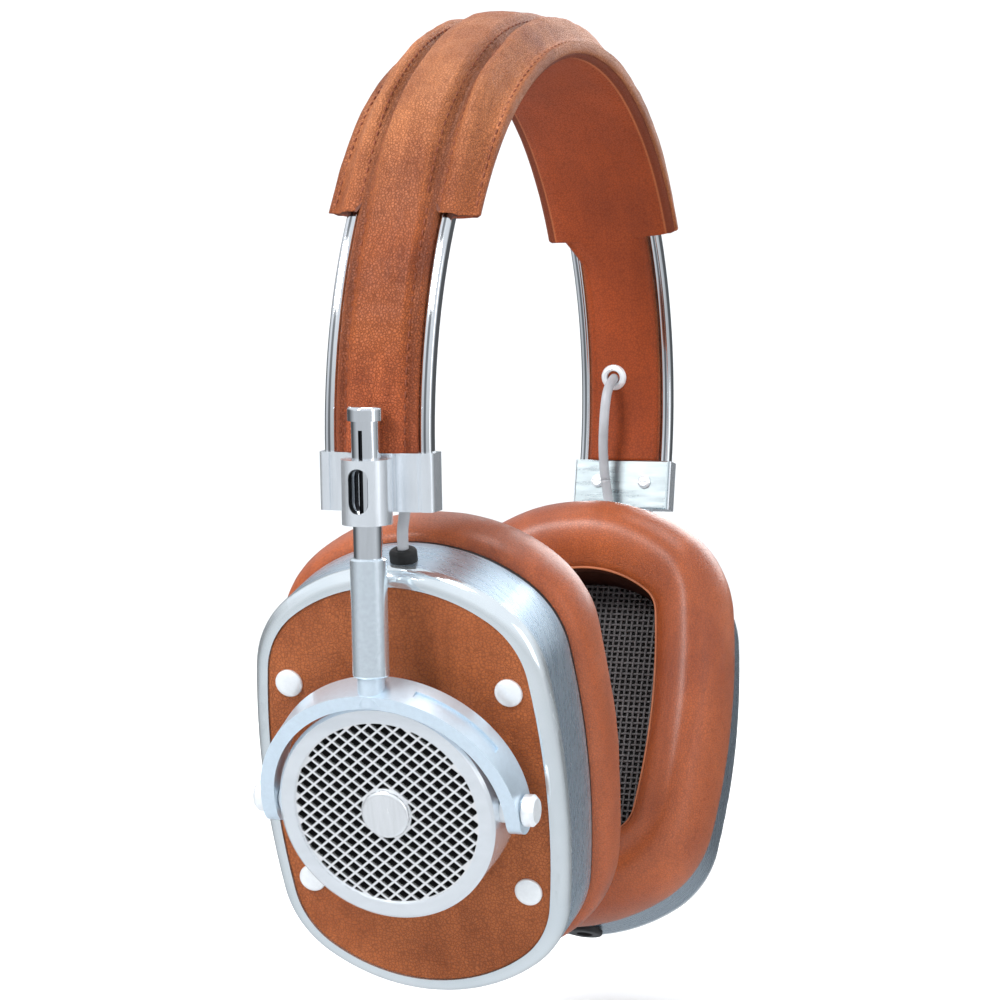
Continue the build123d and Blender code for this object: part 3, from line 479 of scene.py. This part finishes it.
def make_materials():
    """Every material by name: the record's material slots, and the finishes that only scene.py uses."""
    tan, deep, line = srgb(182, 116, 74), srgb(134, 73, 40), srgb(82, 38, 20)
    # Painted shade: the cover darkens downwards from the wings into the straps, then a painted lighter, bluer tint
    # near the straps' lowest part.
    cover_height_shading = ((-0.012, -0.042, (0.68, 0.46, 0.3)), (-0.06, -0.088, (1.3, 1.12, 1.5)))
    # Painted shade: a dark band along the seam valleys 7 mm either side of the middle. The darker side edges beyond
    # 15.2 mm are partly edge paint and partly painted shade.
    cover_shade_bands = ((0.007, 0.0002, 0.0013, line, 0.55), (0.018, 0.0028, 0.0004, srgb(98, 47, 24), 0.3))
    # Painted shade: a dark band along the liner's edges where the cover folds round. Painted highlight: a thin
    # lighter line along the fold's ridge at 13.3 mm.
    liner_shade_bands = ((0.0165, 0.0029, 0.0002, srgb(92, 40, 20), 0.75), (0.0133, 0.0001, 0.0002, tan, 0.3))
    silver, chrome = (0.88, 0.92, 0.96), (0.9, 0.93, 0.96)
    return {
        "cover_leather": leather("cover_leather", tan, deep, line, 1800.0, 0.00026, 0.48, fold=0.8,
                                 height_shading=cover_height_shading, shade_bands=cover_shade_bands),
        "edge_paint": moulded("edge_paint", srgb(84, 40, 22), 0.6),
        "liner_leather": leather("liner_leather", srgb(143, 60, 20), srgb(124, 50, 16), srgb(78, 34, 16),
                                 1700.0, 0.00005, 0.5, fold=0.25, coat=0.0, shade_bands=liner_shade_bands),
        "pad_leather": leather("pad_leather", srgb(178, 90, 42), srgb(142, 64, 27), srgb(88, 40, 20),
                               1900.0, 0.00007, 0.4, patch=30.0, fold=0.35, coat=0.6),
        "panel_leather": leather("panel_leather", srgb(160, 89, 48), srgb(130, 66, 31), srgb(84, 40, 20),
                                 1500.0, 0.00014, 0.46, fold=0.5),
        # The pad's lining is real, and its near-black colour is partly painted shade inside the pad's opening.
        "pad_lining": moulded("pad_lining", srgb(52, 24, 15), 0.8, 2400.0, 0.00006, level=0.1),
        "foam": moulded("foam", (0.03, 0.025, 0.02), 0.9),
        # band_steel's dark line at 9.7 mm is a painted reflection.
        "band_steel": metal("band_steel", (0.86, 0.88, 0.9), 0.07, (60, 900, 60), spread=0.04,
                            line=(0.0097, 0.00016)),
        "bracket_metal": metal("bracket_metal", silver, 0.2, (700, 700, 90), metallic=0.86,
                               shaded_recess=("right", *BRACKET_WINDOW)),
        "bracket_left": metal("bracket_left", silver, 0.2, (700, 700, 90), metallic=0.86,
                              shaded_recess=("left", *BRACKET_WINDOW)),
        "plate_metal": metal("plate_metal", (0.6, 0.68, 0.7), 0.28, (700, 90, 700), spread=0.12, shade=0.8),
        "rod_chrome": metal("rod_chrome", chrome, 0.06, (700, 700, 60), spread=0.03,
                            shaded_recess=("right", *ROD_IN_WINDOW_RIGHT)),
        "rod_left": metal("rod_left", chrome, 0.06, (700, 700, 60), spread=0.03,
                          shaded_recess=("left", *ROD_IN_WINDOW_LEFT)),
        "sleeve_metal": metal("sleeve_metal", (0.78, 0.86, 0.92), 0.22, (1200, 1200, 1200), metallic=0.88),
        "yoke_metal": metal("yoke_metal", (0.7, 0.82, 0.92), 0.32, spread=0.04, metallic=0.72),
        "cup_metal": cup_shell("right"),
        "cup_metal_left": cup_shell("left"),
        "drum_metal": metal("drum_metal", silver, 0.22, (900, 120, 120), metallic=0.82),
        "grille_metal": metal("grille_metal", (0.94, 0.95, 0.96), 0.16, (500, 500, 500), metallic=0.8),
        "screw_metal": metal("screw_metal", (0.92, 0.95, 0.97), 0.36, spread=0.04, metallic=0.6),
        "badge_metal": metal("badge_metal", (0.92, 0.94, 0.96), 0.22, (120, 1200, 120), metallic=0.85),
        "black_cloth": woven("black_cloth", (0.002, 0.002, 0.002), (0.005, 0.005, 0.005), 0.0005, 0.0),
        "mesh_cloth": woven("mesh_cloth", (0.004, 0.004, 0.004), (0.014, 0.013, 0.012), 0.0008, 0.1),
        "mesh_thread": moulded("mesh_thread", srgb(72, 69, 70), 0.7, 3000.0, 0.00003, 0.1),
        "black_plastic": moulded("black_plastic", (0.012, 0.012, 0.013), 0.45),
        "driver_film": moulded("driver_film", (0.42, 0.36, 0.22), 0.3),
        "magnet_steel": metal("magnet_steel", (0.4, 0.4, 0.41), 0.35),
        "black_rubber": moulded("black_rubber", (0.009, 0.009, 0.009), 0.6),
        "cable_jacket": moulded("cable_jacket", srgb(150, 152, 156), 0.34, 700.0, 0.00004),
        "button_metal": metal("button_metal", silver, 0.25),
        "thread": moulded("thread", srgb(104, 50, 28), 0.7, 4000.0, 0.00005),
        "pad_thread": moulded("pad_thread", srgb(150, 86, 54), 0.55, 4000.0, 0.00004),
    }


# CAD nodes whose finish isn't the one of their slot.
OWN_FINISH = {
    "cup_housing_left": "cup_metal_left",
    "bracket_left": "bracket_left",
    "slider_rod_left": "rod_left",
    "bracket_plate_left": "plate_metal",
    "bracket_plate_right": "plate_metal",
}


def paint_nodes(materials):
    """Gives every CAD node its finish. The leather panels have one of their own, whatever their slot is."""
    slots = {s["node"]: s["material_slot"] for s in frame["record"]["subparts"]}
    for name, obj in frame["nodes"].items():
        finish = "panel_leather" if name.startswith("leather_panel") else OWN_FINISH.get(name, slots[name])
        for holder in obj.material_slots:
            holder.material = materials[finish]
        shade_smooth(obj.data)


# ---- Headband cover, in millimetres, and degrees from the headband's top ----
SEAM_Y = 7.0
TAIL_CORNER = 1.3
STITCH_PITCH = 2.2
STITCH_ARC_RADIUS = 80.0
THREAD_SUNK = 0.2
THREAD_RADIUS = 0.2
THREAD_LENGTH = 1.45
THREAD_SIDES = 6
# Along one thread: place as a share of its length, then thickness and height as shares of its radius.
THREAD_STATIONS = (
    (-0.5, 0.25, -0.9), (-0.42, 0.8, -0.3), (-0.2, 1.0, 0.25), (0.0, 1.0, 0.4), (0.2, 1.0, 0.25), (0.42, 0.8, -0.3),
    (0.5, 0.25, -0.9),
)
# Distances of the stitched rows from the middle plane.
WING_ROWS = (5.7, 8.3, 14.5)
TAIL_ROWS = (6.0,)


def ease(value, low, high):
    """0 up to low, 1 from high, and a smooth rise between them."""
    t = min(1.0, max(0.0, (value - low) / (high - low)))
    return t * t * (3 - 2 * t)


def middle_top(y, a):
    """Radius of the crowned middle, which thins out below the wings."""
    across = (y / SEAM_Y) ** 2
    full = 83.8 - 1.1 * across - 2.7 * ease(abs(y), 4.4, SEAM_Y)
    thin = 79.9 - 0.35 * across - 0.9 * ease(abs(y), 5.0, 6.4) + 0.3 * ease(abs(y), 6.4, 7.3)
    share = ease(abs(a), 44.0, 66.0)
    return full * (1 - share) + thin * share


def roll_top(y, a):
    """Radius of the padded roll over each band, down to its stitched edge. It flattens towards the ends."""
    y = abs(y)
    full = 80.0 + 2.4 * ease(y, SEAM_Y, 9.2) - 5.0 * ease(y, 9.6, 14.1) ** 1.15
    flat = 78.7 + 0.2 * ease(y, SEAM_Y, 8.6) - 2.9 * ease(y, 10.8, 14.6)
    share = ease(abs(a), COVER_END - 22, COVER_END)
    return full * (1 - share) + flat * share


def cover_section(a):
    """The outline across the headband at one angle, as (y, radius) points with the same count at every angle."""
    top = [(y, middle_top(y, a)) for y in np.linspace(-SEAM_Y, SEAM_Y, 29)]
    edge = middle_top(SEAM_Y, a)
    if abs(a) <= COVER_END:
        join = edge - roll_top(SEAM_Y, a)
        ys = np.linspace(SEAM_Y, COVER_HALF_WIDTH, 19)[1:]
        half = [(y, roll_top(y, a) + join * (1 - ease(y, SEAM_Y, 8.2))) for y in ys]
        half += [(COVER_HALF_WIDTH, LINER_TOP + 0.25), (15.4, LINER_TOP - 0.1), (15.0, LINER_TOP - 0.15)]
    else:
        half = []
        for t in np.linspace(0, math.pi / 2, 9)[1:]:
            half.append((SEAM_Y + TAIL_CORNER * math.sin(t), edge - TAIL_CORNER * (1 - math.cos(t))))
        half += [(STRAP_HALF_WIDTH, r) for r in np.linspace(edge - TAIL_CORNER, LINER_TOP, 11)[1:]]
        half += [(STRAP_HALF_WIDTH, LINER_TOP - 0.2), (7.6, LINER_TOP - 0.7), (6.9, LINER_TOP - 0.8)]
    return [(-y, r) for y, r in reversed(half)] + top + half


def stitch_dimple(y, a, rows):
    """How far the leather is pulled down along its stitched rows, and a little more at each stitch."""
    along = 0.5 - 0.5 * math.cos(2 * math.pi * math.radians(abs(a)) * STITCH_ARC_RADIUS / STITCH_PITCH)
    return sum(math.exp(-((abs(y) - row) / 0.8) ** 2) * (0.14 + 0.1 * along) for row in rows)


def end_shift(a, y):
    """The cover's ends aren't level: how far each is moved along the arc, in degrees, across its width."""
    middle, slope = (-0.85, 0.25) if a < 0 else (-4.15, 1.05)
    lift = middle + slope * y / COVER_HALF_WIDTH
    return lift * ease(abs(a), 15.0, COVER_END) * (1 - ease(abs(a), COVER_END + 1, 84.0))


def overhang(a, r, y):
    """At the left end the top of each wing reaches further down than its underside, in degrees."""
    if a > 0 or abs(a) > COVER_END:
        return 0.0
    share = ease(abs(y), STRAP_HALF_WIDTH - 0.9, STRAP_HALF_WIDTH)
    height = min(1.0, max(0.0, (r - LINER_TOP) / 3.0))
    return -1.5 * share * ease(abs(a), COVER_END - 8, COVER_END) * height


def make_cover(materials):
    """The padded cover with its wings, and the strap tails below them, as one closed surface."""
    inner = list(np.linspace(-COVER_END, COVER_END, 461))
    tails = list(np.linspace(COVER_END + 0.02, ARC_END, 150))
    loops = []
    for a in [-a for a in reversed(tails)] + inner + tails:
        rows = WING_ROWS if abs(a) <= COVER_END else TAIL_ROWS
        loop = []
        for y, r in cover_section(a):
            top = r > LINER_TOP + 0.5
            dip = stitch_dimple(y, a, rows) if top else 0.0
            lump = noise.noise(Vector((y * 0.12, a * 0.12, 3.0))) * 0.35
            lump += noise.noise(Vector((y * 0.4, a * 0.35, 9.0))) * 0.14
            turn = a + end_shift(a, y) + overhang(a, r, y)
            loop.append(band_point(y, r - dip + (lump if top else lump * 0.3), turn))
        loops.append(loop)
    cover = mesh_object("cover_padded_leather", *lofted(loops))
    nodes = ["headband_cover", "headband_core"]
    finish_piece(cover, "headband", materials["cover_leather"], nodes)
    cover.data.materials.append(materials["edge_paint"])
    size = len(loops[0])
    for row in (len(tails) - 1, len(tails) + len(inner) - 1):
        for face in cover.data.polygons[row * size : (row + 1) * size]:
            face.material_index = 1
            face.use_smooth = False


def liner_reach(a, edge):
    """How far the liner reaches to one edge (+1 rear, -1 front) at one angle. One corner is cut at a slant."""
    wide, notch, narrow = 15.1, 11.6, STRAP_HALF_WIDTH - 0.3
    if abs(a) <= COVER_END:
        return wide
    if a > 0 and edge > 0:
        return notch + (narrow - notch) * min(1.0, (a - COVER_END) / 4.8)
    return narrow


def make_liner(materials):
    steps = [s * (COVER_END + d) for s in (1, -1) for d in (-0.1, 0.05)]
    angles = sorted([*np.linspace(-ARC_END, ARC_END, 330), *steps])
    loops = []
    for a in angles:
        front, rear = -liner_reach(a, -1), liner_reach(a, 1)
        lower, upper = [], []
        for y in np.linspace(front, rear, 45):
            margin = min(y - front, rear - y)
            edge = ease(margin, 0.0, 0.9)
            puff = 0.35 * ease(margin, 1.6, 4.5) - 0.2 * math.exp(-((margin - 1.4) / 0.35) ** 2)
            lump = noise.noise(Vector((y * 0.1, a * 0.06, 21.0))) * 0.2
            radius = LINER_RADIUS + 0.9 - 0.7 * edge - puff + lump * edge
            lower.append(band_point(y, radius, a + end_shift(a, y)))
            upper.append(band_point(y, LINER_TOP + 0.4, a + end_shift(a, y)))
        loops.append(lower + upper[::-1])
    liner = mesh_object("liner_leather_panel", *lofted(loops))
    finish_piece(liner, "headband", materials["liner_leather"], ["headband_liner"])


def thread_row(points, ups, out):
    """Short rounded threads laid along a line of points. out collects their points and faces."""
    lengths = [0.0]
    for a, b in zip(points, points[1:]):
        lengths.append(lengths[-1] + (b - a).length)
    total, count = lengths[-1], int(lengths[-1] / (STITCH_PITCH * MM))
    length, radius = THREAD_LENGTH * MM, THREAD_RADIUS * MM
    verts, faces = out
    for i in range(count):
        middle = (i + 0.5) * total / count
        k = next(j for j in range(1, len(lengths)) if lengths[j] >= middle)
        share = (middle - lengths[k - 1]) / (lengths[k] - lengths[k - 1])
        centre = points[k - 1].lerp(points[k], share)
        along = (points[k] - points[k - 1]).normalized()
        up = ups[k]
        across = along.cross(up).normalized()
        loops = []
        for s, fat, rise in THREAD_STATIONS:
            loop = []
            for turn in turns(THREAD_SIDES):
                lift = math.sin(turn) * radius * fat + rise * radius
                loop.append(centre + along * s * length + across * math.cos(turn) * radius * fat + up * lift)
            loops.append(loop)
        thread_verts, thread_faces = lofted(loops)
        faces += [tuple(len(verts) + v for v in face) for face in thread_faces]
        verts += thread_verts


def stitch_line(y, sign, angles, out):
    """One row of threads on the cover, y from the middle plane, on its rear (+1) or front (-1) side."""
    points = []
    for a in angles:
        r = roll_top(y, a) if y > SEAM_Y else middle_top(y, a)
        turn = a + end_shift(a, sign * y) + overhang(a, r, y)
        points.append(band_point(sign * y, r - THREAD_SUNK, turn))
    centre = band_point(sign * y, 0, 0)
    thread_row(points, [(p - centre).normalized() for p in points], out)


def make_stitches(materials):
    out = ([], [])
    for y in WING_ROWS:
        for sign in (1, -1):
            stitch_line(y, sign, np.linspace(1.2 - COVER_END, COVER_END - 1.2, 120), out)
    for y in TAIL_ROWS:
        for sign in (1, -1):
            for end in (1, -1):
                angles = np.linspace(end * (COVER_END + 0.5), end * (ARC_END - 0.5), 60)
                stitch_line(y, sign, angles, out)
    stitches = mesh_object("cover_stitching", *out)
    finish_piece(stitches, "headband", materials["thread"])


# ---- Ear pads ----
def cup_outline(count):
    """Evenly spaced (y, z, normal y, normal z) round the leather panel's edge, from its +Y side."""
    side, end, corner = PANEL_SIDE_RADIUS, PANEL_END_RADIUS, PANEL_CORNER_RADIUS
    side_y, end_z = PANEL_HALF_WIDTH - side, PANEL_HALF_HEIGHT - end
    reach_side, reach_end = side - corner, end - corner
    gap = math.hypot(side_y, end_z)
    from_side = (gap**2 + reach_side**2 - reach_end**2) / (2 * gap)
    height = math.sqrt(reach_side**2 - from_side**2)
    to_end = (-side_y / gap, end_z / gap)
    corner_y = side_y + from_side * to_end[0] - height * to_end[1]
    corner_z = from_side * to_end[1] + height * to_end[0]
    first = math.atan2(corner_z, corner_y - side_y)
    second = math.atan2(corner_z - end_z, corner_y)
    arcs = [
        (side_y, 0.0, side, 0.0, first),
        (corner_y, corner_z, corner, first, second),
        (0.0, end_z, end, second, math.pi / 2),
    ]
    dense = []
    for y, z, radius, start, stop in arcs:
        for t in np.linspace(start, stop, 120, endpoint=False):
            dense.append((y + radius * math.cos(t), z + radius * math.sin(t), t))
    quarter = dense + [(0.0, PANEL_HALF_HEIGHT, math.pi / 2)]
    lengths = np.cumsum([0] + [math.dist(a[:2], b[:2]) for a, b in zip(quarter, quarter[1:])])
    steps = np.linspace(0, lengths[-1], count // 4, endpoint=False)
    full = [tuple(np.interp(s, lengths, [q[k] for q in quarter]) for k in range(3)) for s in steps]
    full += [(-y, z, math.pi - t) for y, z, t in [*full[1:], quarter[-1]][::-1]]
    full += [(-PANEL_HALF_WIDTH, 0.0, math.pi)]
    full += [(y, -z, 2 * math.pi - t) for y, z, t in full[1:-1][::-1]]
    return [(y, z, math.cos(t), math.sin(t)) for y, z, t in full]


def ring_loops(outline, profile):
    """Loops round the cup for (depth, growth) stations, in the cup's frame and in metres."""
    return [[Vector((n, y + ny * g, z + nz * g)) * MM for y, z, ny, nz in outline] for n, g in profile]


# Profiles are (depth, growth) in millimetres: depth along the cup's frame, more negative towards the head, and
# growth outwards from the leather panel's outline.
PAD_BASE = -24.1
PAD_PROFILE = (
    (PAD_BASE, 1.0), (-24.3, 3.0), (-25.2, 4.5), (-27.2, 5.4), (-30.0, 5.8), (-33.2, 5.7), (-36.2, 5.1),
    (-38.9, 4.0), (-41.1, 2.4), (-42.6, 0.4), (-43.3, -1.8), (-42.9, -4.2), (-41.9, -6.4), (-40.6, -8.2),
    (-39.2, -9.5), (-38.0, -10.1), (-36.8, -9.6), (-35.0, -8.9), (-29.5, -8.9), (PAD_BASE, -8.8),
    (PAD_BASE, -4.0),
)
RIGHT_PAD_RISE = 1.2
# The stations that the cloth simulation may move, from the first up to but not including the second.
PAD_FREE_STATIONS = (2, 12)
CLOTH_PRESSURE = 4.0
CLOTH_FRAMES = 20
# The furthest that the simulation may move a point, in metres.
CLOTH_CAP = 0.0009
LINING_PROFILE = (
    (-37.4, -10.1), (-34.0, -10.0), (-29.0, -9.8), (-24.0, -9.7), (-24.0, -9.0), (-29.0, -9.1), (-34.0, -9.2),
    (-36.8, -9.7),
)
PIPING_DEPTH, PIPING_GROWTH, PIPING_RADIUS = -38.0, -10.15, 0.3
MESH_INSET = 9.4
MESH_REACHES = (20, 34)
MESH_PITCH = 1.25
MESH_OFFSET = 0.31
MESH_WAVE = 0.14
MESH_THREAD_DEPTH, MESH_THREAD_WIDTH = 0.2, 0.27
MESH_SIDES = 5


def inflate(obj, held):
    """Cloth that swells under pressure between its held points, then kept as the mesh. Each move is capped."""
    rest = [v.co.copy() for v in obj.data.vertices]
    group = obj.vertex_groups.new(name="held")
    group.add(held, 1.0, "REPLACE")
    cloth = obj.modifiers.new("cloth", "CLOTH")
    cloth.settings.use_pressure = True
    cloth.settings.uniform_pressure_force = CLOTH_PRESSURE
    cloth.settings.effector_weights.gravity = 0.0
    cloth.settings.vertex_group_mass = "held"
    cloth.point_cache.frame_start, cloth.point_cache.frame_end = 1, CLOTH_FRAMES
    scene = bpy.context.scene
    for step in range(1, CLOTH_FRAMES + 1):
        scene.frame_set(step)
    evaluated = obj.evaluated_get(bpy.context.evaluated_depsgraph_get())
    places = [v.co.copy() for v in evaluated.to_mesh().vertices]
    evaluated.to_mesh_clear()
    obj.modifiers.remove(cloth)
    obj.vertex_groups.remove(group)
    for vertex, start, place in zip(obj.data.vertices, rest, places):
        move = place - start
        vertex.co = start + move * min(1.0, CLOTH_CAP / max(move.length, 1e-9))
    scene.frame_set(1)


def soften(loops, outline, side):
    """Unevenness and small pinches in the pad's leather. The top of the right pad stands out further."""
    seed = 1 if side == "right" else 7
    for loop, (depth, growth) in zip(loops, PAD_PROFILE[:-1]):
        loose = ease(-depth, 24.5, 30.0) * ease(growth, -10.0, -7.5)
        for k, point in enumerate(loop):
            way = Vector((0, outline[k][2], outline[k][3]))
            soft = noise.noise(point * 70 + Vector((seed, 0, 0))) * 0.5
            soft += noise.noise(point * 190 + Vector((0, seed, 0))) * 0.22
            pinch = max(0.0, noise.noise(Vector((k * 0.35, depth * 0.05, seed)))) ** 2
            pinch *= -0.25 * ease(growth, 2.0, 5.0)
            point += (way * 0.8 + Vector((-0.5, 0, 0))) * (soft * 0.55 + pinch) * loose * MM
            if side == "right" and growth > -7:
                rise = max(0.0, way.z) ** 2 * ease(growth, -7.0, 2.0) * ease(-depth, 24.5, 32.0)
                point += way * rise * RIGHT_PAD_RISE * MM


def make_pad(side, materials):
    outline = cup_outline(240)
    loops = ring_loops(outline, PAD_PROFILE)
    soften(loops, outline, side)
    points, faces = lofted(loops, ring=True)
    pad = mesh_object("ear_cushion_" + side, points, faces)
    pad.matrix_world = cup_frame(side)
    first, last = (station * len(outline) for station in PAD_FREE_STATIONS)
    inflate(pad, [k for k in range(len(points)) if not first <= k < last])
    modifier = pad.modifiers.new("smooth", "SUBSURF")
    modifier.levels = modifier.render_levels = 1
    finish_piece(pad, "cup_" + side, materials["pad_leather"], ["ear_pad_" + side])

    rope = []
    for t in turns(8):
        rope.append((PIPING_DEPTH + PIPING_RADIUS * math.sin(t), PIPING_GROWTH + PIPING_RADIUS * math.cos(t)))
    # The lining lies over the pad's inner wall; its near-black colour is partly painted shade.
    trims = (
        ("pad_lining_", LINING_PROFILE, "pad_lining", "mesh_cloth"),
        ("pad_piping_", rope, "pad_thread", "pad_leather"),
    )
    for name, profile, material, slot in trims:
        trim = mesh_object(name + side, *lofted(ring_loops(outline, profile), ring=True))
        trim.matrix_world = cup_frame(side)
        finish_piece(trim, "cup_" + side, materials[material])


def span_at(outline, value, axis):
    """How far the closed outline reaches along the other axis, at one value of this one."""
    crossings = []
    for a, b in zip(outline, outline[1:] + outline[:1]):
        if (a[axis] - value) * (b[axis] - value) < 0:
            share = (value - a[axis]) / (b[axis] - a[axis])
            crossings.append(a[1 - axis] + share * (b[1 - axis] - a[1 - axis]))
    return (min(crossings), max(crossings)) if len(crossings) > 1 else None


def make_ear_mesh(side, materials):
    """Woven threads over the dark cloth in the pad's opening, each over and under its neighbours."""
    outline = [(y - MESH_INSET * ny, z - MESH_INSET * nz) for y, z, ny, nz in cup_outline(160)]
    verts, faces = [], []
    for axis, reach in enumerate(MESH_REACHES):
        count = int(reach / MESH_PITCH)
        for k in range(-count, count + 1):
            value = k * MESH_PITCH + MESH_OFFSET
            span = span_at(outline, value, axis)
            if span is None:
                continue
            steps = max(2, int((span[1] - span[0]) / (MESH_PITCH / 3)))
            loops = []
            for i in range(steps + 1):
                along = span[0] + (span[1] - span[0]) * i / steps
                wave = math.cos(math.pi * (along / MESH_PITCH + k % 2 + axis)) * MESH_WAVE
                loop = []
                for turn in turns(MESH_SIDES):
                    depth = PAD_BASE + wave + MESH_THREAD_DEPTH * math.sin(turn)
                    beside = value + MESH_THREAD_WIDTH * math.cos(turn)
                    loop.append(Vector((depth, beside, along) if axis == 0 else (depth, along, beside)) * MM)
                loops.append(loop)
            thread_verts, thread_faces = lofted(loops, caps=False)
            faces += [tuple(len(verts) + v for v in face) for face in thread_faces]
            verts += thread_verts
    mesh = mesh_object("ear_mesh_threads_" + side, verts, faces)
    mesh.matrix_world = cup_frame(side)
    finish_piece(mesh, "cup_" + side, materials["mesh_thread"])


# ---- Stage, in metres ----
FLOOR_DROP = 0.016
FLOOR_FLAT_RADII = (0.0, 0.4, 0.9, 1.6)
FLOOR_RIM = 0.8
SKY_STRENGTH = 0.86
# Skies are (height, brightness) stops, where height is -1 straight down and 1 straight up.
SKY_BEHIND = ((-1.0, 0.8), (1.0, 1.0), (-0.4, 0.5), (-0.12, 0.1), (0.1, 0.12), (0.32, 0.55), (0.5, 1.0))
SKY_BEFORE = ((-1.0, 0.8), (1.0, 1.0), (-0.3, 0.6), (0.0, 0.74), (0.3, 0.95))
LIGHT_AIM = (0, 0, -0.1)


def make_floor():
    """A pale floor that curves up into a rim all round."""
    flat = FLOOR_FLAT_RADII[-1]
    profile = [(r, 0.0) for r in FLOOR_FLAT_RADII]
    for t in np.linspace(0.08, math.pi / 2, 20):
        profile.append((flat + FLOOR_RIM * math.sin(t), FLOOR_RIM - FLOOR_RIM * math.cos(t)))
    profile.append((flat + FLOOR_RIM, flat + FLOOR_RIM))
    floor_z = cad_box[0].z - FLOOR_DROP
    loops = [[Vector((r * math.cos(t), r * math.sin(t), floor_z + z)) for t in turns(96)] for r, z in profile]
    floor = mesh_object("floor", *lofted(loops, caps=False))
    p = Paint("floor_paint", Roughness=0.9)
    p.out(Base_Color=p.mix(p.ramp(p.noise(6.0), 0.3, 0.7), (0.88, 0.88, 0.88), (0.9, 0.9, 0.9)))
    floor.data.materials.append(p.material)
    floor.visible_glossy = False
    floor.visible_shadow = False


def make_sky(facing_way):
    """Two skies, one on the side of facing_way and one opposite it, which metal reflects."""
    world = bpy.data.worlds.new("world")
    bpy.context.scene.world = world
    world.use_nodes = True
    tree = world.node_tree
    place = tree.nodes.new("ShaderNodeTexCoord").outputs["Generated"]
    split = tree.nodes.new("ShaderNodeSeparateXYZ")
    tree.links.new(place, split.inputs[0])

    def sky(stops):
        """A grey that changes with height."""
        rescale = tree.nodes.new("ShaderNodeMapRange")
        tree.links.new(split.outputs[2], rescale.inputs[0])
        rescale.inputs[1].default_value = -1.0
        ramp = tree.nodes.new("ShaderNodeValToRGB")
        tree.links.new(rescale.outputs[0], ramp.inputs[0])
        elements = ramp.color_ramp.elements
        for index, (height, value) in enumerate(stops):
            position = (height + 1) / 2
            element = elements[index] if index < 2 else elements.new(position)
            element.position, element.color = position, (value * 0.95, value, value * 1.06, 1)
        return ramp.outputs[0]

    facing = tree.nodes.new("ShaderNodeVectorMath")
    facing.operation = "DOT_PRODUCT"
    tree.links.new(place, facing.inputs[0])
    facing.inputs[1].default_value = facing_way
    share = tree.nodes.new("ShaderNodeMapRange")
    tree.links.new(facing.outputs["Value"], share.inputs[0])
    share.inputs[1].default_value, share.inputs[2].default_value = -0.45, 0.35
    blend = tree.nodes.new("ShaderNodeMix")
    blend.data_type = "RGBA"
    tree.links.new(share.outputs[0], blend.inputs[0])
    tree.links.new(sky(SKY_BEHIND), blend.inputs[6])
    tree.links.new(sky(SKY_BEFORE), blend.inputs[7])
    background = next(n for n in tree.nodes if n.type == "BACKGROUND")
    tree.links.new(blend.outputs[2], background.inputs[0])
    background.inputs[1].default_value = SKY_STRENGTH


def softbox(name, place, size, power):
    light = bpy.data.objects.new(name, bpy.data.lights.new(name, "AREA"))
    bpy.context.scene.collection.objects.link(light)
    light.data.shape = "RECTANGLE"
    light.data.size, light.data.size_y = size
    light.data.energy = power
    light.location = place
    light.rotation_euler = (Vector(LIGHT_AIM) - light.location).to_track_quat("-Z", "Y").to_euler()


def make_stage(back, right, up):
    make_floor()
    make_sky(back)
    softbox("key", back * 1.0 - right * 0.9 + up * 0.9, (0.5, 0.5), 24)
    softbox("fill", back * 0.9 + right * 1.1 + up * 0.2, (0.6, 1.0), 2)
    softbox("top", Vector((0, 0, 1.4)), (0.8, 0.8), 12)
    softbox("rim", -back * 1.1 + right * 0.5 + up * 0.5, (0.8, 0.8), 8)


bpy.context.scene.view_settings.view_transform = "Standard"
back, right, up = make_camera()
materials = make_materials()
make_cables(materials["cable_jacket"])
paint_nodes(materials)
make_cover(materials)
make_liner(materials)
make_stitches(materials)
for side in SIDES:
    make_pad(side, materials)
    make_ear_mesh(side, materials)
make_stage(back, right, up)
